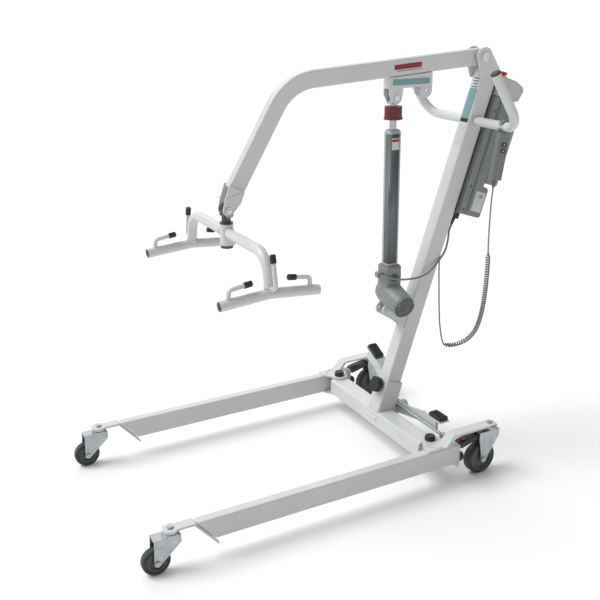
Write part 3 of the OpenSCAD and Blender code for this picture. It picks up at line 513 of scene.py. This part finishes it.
MOTOR_ROUTE = [PLUG_A, row(0.003, 0.232, 0.676), row(0.012, 0.222, 0.648), row(0.022, 0.204, 0.618),
               row(0.032, 0.170, 0.590), row(0.039, 0.136, 0.568), row(0.043, 0.098, 0.558),
               row(0.043, 0.062, 0.557), row(0.042, 0.030, 0.560), row(0.039, 0.004, 0.565),
               row(0.033, -0.015, 0.570), row(0.020, -0.025, 0.573), GLAND]
CORD_TOP = [row(HANDSET_X, 0.269, 0.839), row(HANDSET_X, 0.267, 0.812), row(HANDSET_X, 0.266, 0.780),
            row(HANDSET_X, 0.266, 0.740), row(0.149, 0.267, 0.700), row(0.147, 0.270, 0.665),
            row(0.145, 0.273, 0.641)]
COIL = [row(0.145, 0.273, 0.640), row(0.142, 0.277, 0.600), row(0.137, 0.281, 0.550),
        row(0.131, 0.284, 0.500), row(0.124, 0.286, 0.455), row(0.114, 0.286, 0.410),
        row(0.102, 0.282, 0.370), row(0.084, 0.270, 0.336), row(0.062, 0.252, 0.314),
        row(0.042, 0.230, 0.304), row(0.028, 0.210, 0.308)]
CORD_END = [row(0.026, 0.208, 0.309), row(0.025, 0.205, 0.330), row(0.023, 0.200, 0.380),
            row(0.020, 0.196, 0.440), row(0.016, 0.195, 0.500), row(0.010, 0.196, 0.550),
            row(0.002, 0.202, 0.600), row(-0.008, 0.214, 0.640), row(-0.018, 0.228, 0.672),
            row(-0.022, 0.240, 0.690), PLUG_B]


def helix(path, radius, pitch, per_turn=14, ease=0.018):
    """A coil round a path, opening from its line at one end and closing to it at the other."""
    total = length_of(path)
    out, side, walked = [], Vector((1, 0, 0)), 0.0
    step = pitch / per_turn
    index, along = 0, 0.0
    while walked < total and index < len(path) - 1:
        a, b = path[index], path[index + 1]
        span = (b - a).length
        if along > span:
            along -= span
            index += 1
            continue
        heading = (b - a).normalized()
        side = (side - heading * side.dot(heading)).normalized()
        up = heading.cross(side)
        turn = 2 * math.pi * walked / pitch
        swell = min(1.0, walked / ease, (total - walked) / ease)
        r = radius * max(0.0, swell)
        out.append(a + heading * along + side * r * math.cos(turn) + up * r * math.sin(turn))
        along += step
        walked += step
    return out


def make_cords():
    motor = smooth_route(MOTOR_ROUTE, 5)
    cable = tube_curve("motor_cable_run", motor, 0.0032, CORD, "base", 5)
    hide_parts("motor_cable")
    top, end = smooth_route(CORD_TOP, 5), smooth_route(CORD_END, 5)
    coil = helix(smooth_route(COIL, 12), 0.0056, 0.0080)
    whole = top[:-1] + coil + end[1:]
    joint, reach, rounds = len(top) - 1 + len(coil), 9, 30
    for _ in range(rounds):
        for k in range(joint - reach, joint + reach):
            whole[k] = (whole[k - 1] + whole[k + 1]) / 2
    lead = tube_curve("handset_lead", whole, 0.0024, CORD, "base", 3)
    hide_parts("handset_cord", "handset_coil")


make_cords()

# ---- details that the CAD leaves out ----

MAST_FRONT = -0.0265
BOOM_SLOPE = math.radians(3.8)
BOOM_PIVOT = on_mast(0, -0.045, 1.129)
BOOM_FRAME = Matrix.Translation(BOOM_PIVOT) @ Matrix.Rotation(BOOM_SLOPE, 4, "X")
BOOM_HALF_W = 0.015
MARK_DEPTH = 0.0004


def plate(size, matrix, round_by=0.0):
    """A bmesh of a thin plate with rounded outline, centred, lying in X and Y."""
    w, d, t = size
    bm = bmesh.new()
    r = min(round_by, w / 2 - 1e-5, d / 2 - 1e-5)
    outline = []
    for cx, cy, start in ((1, 1, 0), (-1, 1, 90), (-1, -1, 180), (1, -1, 270)):
        for k in range(7 if r > 0 else 1):
            a = math.radians(start + (15 * k if r > 0 else 45))
            outline.append((cx * (w / 2 - r) + r * math.cos(a), cy * (d / 2 - r) + r * math.sin(a)))
    low = [bm.verts.new((x, y, 0)) for x, y in outline]
    high = [bm.verts.new((x, y, t)) for x, y in outline]
    bm.faces.new(low)
    bm.faces.new(high)
    for k in range(len(outline)):
        n = (k + 1) % len(outline)
        bm.faces.new((low[k], low[n], high[n], high[k]))
    return moved(bm, matrix)


def mark(name, size, matrix, material, body, round_by=0.0):
    """A plain printed mark: a very thin plate on a surface."""
    w, h = size
    return mesh_piece(name, plate((w, h, MARK_DEPTH), matrix, round_by), material, body, smooth=False)


def facing(frame, x, y, z, normal, up):
    """A frame at a point of another frame, its Z along a normal and its Y along up."""
    n, u = Vector(normal).normalized(), Vector(up).normalized()
    side = u.cross(n)
    turn = Matrix((side, u, n)).transposed().to_4x4()
    return frame @ Matrix.Translation((x, y, z)) @ turn


def screw(name, frame, radius, material, body):
    """A pan-head screw with a hexagon socket, its head along the frame's Z."""
    bm = lathe([(radius * 0.42, radius * 0.25), (radius * 0.46, radius * 0.62),
                (radius * 0.85, radius * 0.58), (radius, radius * 0.25), (radius, 0)], 24)
    socket = bmesh.ops.create_circle(bm, cap_ends=True, radius=radius * 0.46, segments=6)
    bmesh.ops.translate(bm, verts=socket["verts"], vec=(0, 0, radius * 0.22))
    return mesh_piece(name, moved(bm, frame), material, body)


def weld_bead(name, points, radius, body, closed=False):
    """A fillet weld: a tube along a line, rippled as the torch moved."""
    loop = points + [points[0]] if closed else points
    dense = []
    for a, b in zip(loop, loop[1:]):
        steps = max(1, round((b - a).length / 0.0012))
        dense += [a.lerp(b, k / steps) for k in range(steps)]
    if not closed:
        dense.append(loop[-1])
    bm = bmesh.new()
    rings, count, sides = [], len(dense), 8
    across = Vector((0.31, 0.52, 0.79))
    for k, p in enumerate(dense):
        ahead = dense[(k + 1) % count] if closed or k + 1 < count else p
        behind = dense[k - 1] if closed or k else p
        heading = (ahead - behind).normalized()
        across = (across - heading * across.dot(heading)).normalized()
        up = heading.cross(across)
        r = radius * (1.0 + 0.16 * math.sin(k * 1.9))
        spokes = [2 * math.pi * n / sides for n in range(sides)]
        rings.append([bm.verts.new(p + (across * math.cos(t) + up * math.sin(t)) * r) for t in spokes])
    for k in range(count if closed else count - 1):
        here, there = rings[k], rings[(k + 1) % count]
        turn = 0
        if closed and k == count - 1:
            turn = min(range(sides), key=lambda n: (there[n].co - here[0].co).length)
        for n in range(sides):
            m = (n + 1) % sides
            bm.faces.new((here[n], here[m], there[(m + turn) % sides], there[(n + turn) % sides]))
    if not closed:
        bm.faces.new(rings[0])
        bm.faces.new(rings[-1])
    return mesh_piece(name, bm, WELD, body)


def ring_points(centre, direction, radius, count=40, start=0.0, sweep=360.0):
    """Points round a circle about a direction."""
    frame_at = aim(centre, direction)
    steps = count if sweep >= 360 else count + 1
    angles = [math.radians(start + sweep * k / count) for k in range(steps)]
    return [frame_at @ Vector((radius * math.cos(a), radius * math.sin(a), 0)) for a in angles]


def wall_strip(inner, outer, low, high):
    """A thin wall between two outlines, standing from one height to another."""
    bm = bmesh.new()
    outline = inner + outer[::-1]
    bottom = [bm.verts.new((x, y, low)) for x, y in outline]
    top = [bm.verts.new((x, y, high)) for x, y in outline]
    count, last = len(inner), len(outline) - 1
    for k in range(len(outline)):
        n = (k + 1) % len(outline)
        bm.faces.new((bottom[k], bottom[n], top[n], top[k]))
    for k in range(count - 1):
        bm.faces.new((bottom[k], bottom[last - k], bottom[last - k - 1], bottom[k + 1]))
        bm.faces.new((top[k], top[k + 1], top[last - k - 1], top[last - k]))
    bmesh.ops.recalc_face_normals(bm, faces=bm.faces)
    return bm


def make_mast_marks():
    """Plain panels and bars where the real mast carries its labels."""
    face = {"normal": (0, -1, 0), "up": (0, 0, 1)}
    front = MAST_FRONT - 0.0001
    spots = [("teal_mark", 0.034, 0.090, 0.993, LABEL_TEAL), ("black_mark", 0.036, 0.012, 0.941, BLACK),
             ("pale_mark", 0.034, 0.070, 0.896, LABEL)]
    for name, w, h, v, look in spots:
        mark("mast_" + name, (w, h), facing(MAST_FRAME, 0, front, v, **face), look, "base", 0.001)
    for k in range(4):
        at = facing(MAST_FRAME, 0, front, 1.043 + 0.0085 * k, **face)
        mark(f"mast_bar_mark_{k}", (0.026 - 0.004 * (k % 2), 0.0028), at, MOTOR_CAP, "base", 0.001)
    for k in range(6):
        at = facing(MAST_FRAME, -0.002, front - MARK_DEPTH, 0.925 - 0.0105 * k, **face)
        mark(f"mast_line_mark_{k}", (0.022, 0.0016), at, WELD, "base", 0.0006)


def make_boom_marks():
    """Plain stripes where the real boom carries its decals."""
    for s, tag in SIDES:
        face = {"normal": (s, 0, 0), "up": (0, 0, 1)}
        at = s * (BOOM_HALF_W + 0.0001)
        mark(f"boom_stripe_{tag}", (0.094, 0.014), facing(BOOM_FRAME, at, -0.266, 0.002, **face),
             BRAKE_RED, "boom", 0.003)
        mark(f"boom_thin_stripe_{tag}", (0.085, 0.0024), facing(BOOM_FRAME, at, -0.262, -0.009, **face),
             MOTOR, "boom", 0.001)
        mark(f"bracket_stripe_{tag}", (0.128, 0.017),
             facing(Matrix.Identity(4), s * 0.0171, 0.0545 + Y_SHIFT, 1.1440, **face),
             LABEL_TEAL, "boom", 0.002)


def make_actuator_details():
    """Painted shade as dark strips round two of the tube's corners, standing for the shade on its side faces;
    also its label, the orange seal and the gear caps.
    """
    half, corner, proud = 0.0190, 0.0060, 0.0004
    label_face, label_y = 0.0195, -0.003
    bend = [math.radians(-90 + 15 * k) for k in range(7)]
    start, end = (-0.0060, -half), (half, 0.0105)

    def arc(r):
        return [(half - corner + r * math.cos(a), -half + corner + r * math.sin(a)) for a in bend]

    inner = [start] + arc(corner) + [end]
    outer = [(start[0], start[1] - proud)] + arc(corner + proud) + [(end[0] + proud, end[1])]
    # Painted shade: dark strips wrapped round two corners stand for the shade on the tube's side faces.
    for turn, tag in ((0, "front"), (180, "rear")):
        shade_wrap = wall_strip(inner, outer, 0.150, 0.540)
        at = ACT_FRAME @ Matrix.Rotation(math.radians(turn), 4, "Z")
        mesh_piece(f"tube_painted_shade_{tag}", moved(shade_wrap, at), TUBE_SHADE, "actuator")
    label = facing(ACT_FRAME, label_face, label_y, 0.512, (1, 0, 0), (0, 0, 1))
    mark("tube_label", (0.0245, 0.034), label, LABEL, "actuator", 0.001)
    at = facing(ACT_FRAME, label_face + MARK_DEPTH, label_y, 0.5225, (1, 0, 0), (0, 0, 1))
    mark("tube_label_band", (0.0235, 0.006), at, BRAKE_RED, "actuator", 0.0005)
    at = facing(ACT_FRAME, label_face + MARK_DEPTH, label_y, 0.5180, (1, 0, 0), (0, 0, 1))
    mark("tube_label_line", (0.0235, 0.002), at, YELLOW, "actuator", 0.0005)
    corners = ((1, -1), (1, 1), (-1, 1), (-1, -1))
    ring = [ACT_FRAME @ Vector((x * 0.0196, y * 0.0196, 0.1428)) for x, y in corners]
    tube_curve("tube_seal", ring, 0.0012, ORANGE, "actuator", 2, True)
    for s, tag in SIDES:
        at = facing(ACT_FRAME, s * 0.0265, 0, 0.106, (s, 0, 0), (0, 0, 1))
        disc = lathe([(0, 0.0006), (0.0060, 0.0006), (0.0064, 0.0012), (0.0128, 0.0012), (0.0136, 0)], 40)
        mesh_piece(f"gear_cap_{tag}", moved(disc, at), MOTOR_CAP, "actuator")


def make_motor():
    """The motor and its end cap, both turned about the motor's own axis."""
    body_axis = Vector((1, 0, -0.30)).normalized()
    at = aim(FOOT + Vector((0.0, 0, 0.052)), body_axis)
    profile = [(0.000, -0.0430), (0.0160, -0.0415), (0.0280, -0.0350), (0.0360, -0.0235), (0.0390, -0.0080),
               (0.0394, 0.0120), (0.0386, 0.0360), (0.0370, 0.0600), (0.0352, 0.0760), (0.0346, 0.0820),
               (0.0334, 0.0832), (0.0334, 0.0850)]
    drum = mesh_piece("motor_drum", moved(lathe(profile, 64), at), MOTOR, "actuator")
    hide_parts("motor_housing")
    cap = [(0.0334, 0.0848), (0.0340, 0.0858), (0.0340, 0.0900), (0.0330, 0.0914), (0.0270, 0.0920),
           (0.0262, 0.0912), (0.0130, 0.0912), (0.0122, 0.0920), (0.0, 0.0922)]
    mesh_piece("motor_cap", moved(lathe(cap, 64), at), MOTOR_CAP, "actuator")
    for k in range(3):
        a = math.radians(30 + 120 * k)
        spot = at @ Matrix.Translation((0.0300 * math.cos(a), 0.0300 * math.sin(a), 0.0914))
        screw(f"motor_cap_screw_{k}", spot, 0.0022, STEEL, "actuator")


def make_pads():
    """Ribbed rubber pads on the pedal seats."""
    rest, arm, reach = math.radians(13.5), math.radians(25.5), 0.206
    hub = Matrix.Translation(row(0, 0.076, 0.105)) @ Matrix.Rotation(rest, 4, "Y")
    base = None
    for s, tag in SIDES:
        seat = (hub @ Matrix.Rotation(-s * arm, 4, "Y") @ Matrix.Translation((s * reach, 0, 0.012))
                @ Matrix.Rotation(s * (arm - math.radians(14)), 4, "Y"))
        pad = plate((0.060, 0.034, 0.0105), seat @ Matrix.Translation((0, 0, -0.007)), 0.007)
        top = mesh_piece(f"pad_{tag}", pad, PAD, "rocker")
        bevelled(top, 0.0022, 4)
        for k in range(9):
            rib_at = seat @ Matrix.Translation((-0.024 + 0.006 * k, 0, 0.0030))
            rib = plate((0.0028, 0.026, 0.0022), rib_at, 0.0012)
            bevelled(mesh_piece(f"pad_{tag}_rib_{k}", rib, PAD, "rocker"), 0.0006, 2)
        if base is None:
            base = top
    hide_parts("pedal_pads")


def make_control_box():
    """The control box: a moulded shell with a paler head, a seam drawn as a line of painted shade, a label
    and screws.
    """
    shell = [(0.032, 0.668), (0.114, 0.668), (0.120, 0.674), (0.120, 0.758), (0.114, 0.764), (0.097, 0.766),
             (0.097, 1.022), (0.112, 1.029), (0.112, 1.034), (0.034, 1.034)]
    half = 0.038
    body = mesh_piece("box_shell", moved(slab(shell, -half, half), MAST_FRAME), BOX, "base")
    bevelled(body, 0.0060, 5)
    head = [(0.034, 1.035), (0.113, 1.035), (0.126, 1.040), (0.134, 1.072), (0.129, 1.085), (0.095, 1.0955),
            (0.048, 1.0955), (0.036, 1.086)]
    cap = mesh_piece("box_head", moved(slab(head, -half - 0.002, half + 0.002), MAST_FRAME), BOX_HEAD, "base")
    bevelled(cap, 0.0065, 6)
    well = lathe([(0.0, 1.0900), (0.0074, 1.0900), (0.0074, 1.1000), (0.0, 1.1000)], 40)
    bored(cap, moved(well, MAST_FRAME @ Matrix.Translation((0, 0.065, 0))))
    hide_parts("control_box")
    collar = lathe([(0.0071, 1.0945), (0.0071, 1.1000), (0.0078, 1.1010), (0.0150, 1.1010), (0.0162, 1.1000),
                    (0.0168, 1.0950), (0.0168, 1.0945)], 48)
    at = MAST_FRAME @ Matrix.Translation((0, 0.065, 0))
    mesh_piece("stop_collar", moved(collar, at), YELLOW, "base")
    for s, tag in SIDES:
        for k, v in enumerate((0.683, 0.757, 0.990)):
            at = facing(MAST_FRAME, s * (half - 0.0002), 0.046, v, (s, 0, 0), (0, 0, 1))
            screw(f"box_screw_{tag}_{k}", at, 0.0034, MOTOR_CAP, "base")
        # Painted shade: a near-black line along the seam stands for the shade in its gap.
        seam = [MAST_FRAME @ Vector((s * (half + 0.0001), 0.057, v)) for v in (0.673, 0.850, 1.031)]
        tube_curve(f"box_seam_{tag}", seam, 0.0008, SEAM_SHADE, "base", 1)
        rib_at = facing(MAST_FRAME, s * half, 0.068, 0.852, (s, 0, 0), (0, 0, 1))
        rib = plate((0.010, 0.350, 0.0016), rib_at, 0.004)
        bevelled(mesh_piece(f"box_rib_{tag}", rib, BOX, "base"), 0.0008, 2)
    label = facing(MAST_FRAME, half + 0.0001, 0.092, 0.716, (1, 0, 0), (0, 0, 1))
    mark("box_label", (0.044, 0.062), label, LABEL, "base", 0.002)
    for k, (y, z, w, h) in enumerate(((-0.012, 0.018, 0.012, 0.012), (0.006, 0.018, 0.016, 0.012),
                                      (-0.012, -0.006, 0.010, 0.024), (0.008, -0.006, 0.018, 0.024))):
        at = label @ Matrix.Translation((y, z, MARK_DEPTH))
        mark(f"box_label_field_{k}", (w, h), at, LABEL_TEAL if k == 1 else WELD, "base", 0.001)


def make_battery():
    """The battery: a rounded pack with grip ridges and a release catch."""
    at = MAST_FRAME @ Matrix.Translation((0, 0.1265, 0.776))
    case = plate((0.072, 0.058, 0.228), at, 0.012)
    pack = mesh_piece("battery_case", case, BATTERY, "battery")
    bevelled(pack, 0.006, 5)
    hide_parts("battery_pack")
    for k in range(7):
        ridge = plate((0.046, 0.0028, 0.0016),
                      facing(MAST_FRAME, 0, 0.1553, 0.965 - 0.006 * k, (0, 1, 0), (0, 0, 1)), 0.0013)
        bevelled(mesh_piece(f"battery_ridge_{k}", ridge, BATTERY, "battery"), 0.0006, 2)
    catch = plate((0.030, 0.012, 0.004), facing(MAST_FRAME, 0, 0.1550, 0.985, (0, 1, 0), (0, 0, 1)), 0.004)
    bevelled(mesh_piece("battery_catch", catch, BOX_HEAD, "battery"), 0.0012, 3)
    for s, tag in SIDES:
        # Painted shade: a near-black line along the seam stands for the shade in its gap.
        line = [MAST_FRAME @ Vector((s * 0.0361, 0.118, v)) for v in (0.790, 0.990)]
        tube_curve(f"battery_seam_{tag}", line, 0.0007, SEAM_SHADE, "battery", 1)


HANDSET_TOP = row(HANDSET_X, 0, 0) + Vector((0, on_mast(0, 0, HANDLE_V).y - Y_SHIFT, 0.999))
HANDSET_FRAME = Matrix.Translation(HANDSET_TOP) @ Matrix.Rotation(math.radians(-9), 4, "X")


def make_handset():
    """Arrow marks on the handset's buttons, and rings on its strain relief."""
    for k, (z, up) in enumerate(((-0.034, 1), (-0.052, -1))):
        at = facing(HANDSET_FRAME, 0.0125, 0, z, (1, 0, 0), (0, 0, 1))
        bm = bmesh.new()
        tri = [(-0.0035, -0.002 * up), (0.0035, -0.002 * up), (0, 0.0028 * up)]
        bm.faces.new([bm.verts.new((x, y, 0.0002)) for x, y in tri])
        body = "button_up" if up > 0 else "button_down"
        mesh_piece(f"arrow_mark_{k}", moved(bm, at), LABEL, body, smooth=False)
    for k in range(4):
        z = -0.143 - 0.0048 * k
        r = 0.0056 - 0.0006 * k
        ring = [HANDSET_FRAME @ p for p in ring_points(Vector((0, 0, z)), (0, 0, 1), r, 24)]
        tube_curve(f"relief_ring_{k}", ring, 0.0009, MOTOR_CAP, "base", 2, True)


def make_base_details():
    """Welds on the base, rubber buffers behind the legs, and the brakes' red marks."""
    beam_top = LEG_TOP - 0.0005
    foot = [row(-0.030, 0.026, beam_top), row(-0.030, -0.0330, beam_top), row(0.030, -0.0330, beam_top),
            row(0.030, 0.026, beam_top)]
    weld_bead("socket_weld", foot, 0.0017, "base")
    for s, tag in SIDES:
        leg = f"leg_{tag}"
        line = ((0.288, -0.040), (0.316, -0.010), (0.316, 0.004))
        groove = [row(s * x, y, LEG_TOP + 0.0060) for x, y in line]
        tube_curve(f"plate_weld_{tag}", groove, 0.0014, WELD, leg, 2)
        buffer_at = aim(row(s * LEG_X, 0.0650, 0.073), (0, 1, 0))
        knob = lathe([(0, 0), (0.0150, 0), (0.0160, 0.0020), (0.0150, 0.0150), (0.0120, 0.0205),
                      (0.0, 0.0220)], 36)
        mesh_piece(f"leg_buffer_{tag}", moved(knob, buffer_at), PAD, leg)
        mark_at = Matrix.Translation(row(s * LEG_X, REAR_REACH - 0.100, REAR_TOP - 0.0220))
        tilt = Matrix.Rotation(math.radians(12), 4, "X")
        bar = plate((0.022, 0.016, 0.0012), mark_at @ tilt, 0.003)
        brake_mark = mesh_piece(f"brake_mark_{tag}", bar, BRAKE_RED, f"brake_{tag}")
        bevelled(brake_mark, 0.0004, 2)


def make_spreader_details():
    """Welds where the spreader's tubes and hooks meet, and along the boom's clevis."""
    main_z, hub_r = 0.773, 0.019
    for s, tag in SIDES:
        at = Vector((s * (hub_r - 0.0006), HANG.y, main_z))
        weld_bead(f"hub_weld_{tag}", ring_points(at, (1, 0, 0), 0.0152), 0.0015, "spreader", True)
        foot = Vector((s * (BAR_X - 0.0028), HANG.y, BAR_Z + 0.0150))
        weld_bead(f"bar_weld_{tag}", ring_points(foot, (s * 0.17, 0, -1), 0.0150), 0.0015, "spreader", True)
        for end, e in (("front", -1), ("rear", 1)):
            base = Vector((s * BAR_X, HANG.y + e * 0.114, BAR_Z - 0.0094 + 0.0136))
            around = ring_points(base, (0, 0, 1), 0.0066, 24)
            weld_bead(f"hook_weld_{end}_{tag}", around, 0.0012, "spreader", True)
    for e in (-1, 1):
        route = ((-0.016, 0.030), (0.020, 0.040), (0.034, 0.044))
        line = [HANG + Vector((e * 0.0194, y, z)) for y, z in route]
        weld_bead(f"clevis_weld_{'left' if e > 0 else 'right'}", line, 0.0011, "boom")


def make_handle_caps():
    """Black caps pressed into the ends of the push handle."""
    tilt = Matrix.Rotation(math.radians(33), 4, "X")
    base_at = on_mast(0, 0, HANDLE_V)
    for s, tag in SIDES:
        end = Matrix.Translation(base_at) @ tilt @ Matrix.Translation((s * 0.215, 0, 0.057 + 0.134))
        cap = lathe([(0.0142, -0.0020), (0.0146, 0.0), (0.0140, 0.0016), (0.0105, 0.0028), (0.0, 0.0032)], 40)
        mesh_piece(f"handle_cap_{tag}", moved(cap, end), BLACK, "base")
        collar = ring_points(Vector((s * 0.0242, base_at.y, base_at.z)), (1, 0, 0), 0.0148)
        weld_bead(f"handle_weld_{tag}", collar, 0.0015, "base", True)


make_mast_marks()
make_boom_marks()
make_actuator_details()
make_motor()
make_pads()
make_control_box()
make_battery()
make_handset()
make_base_details()
make_spreader_details()
make_handle_caps()
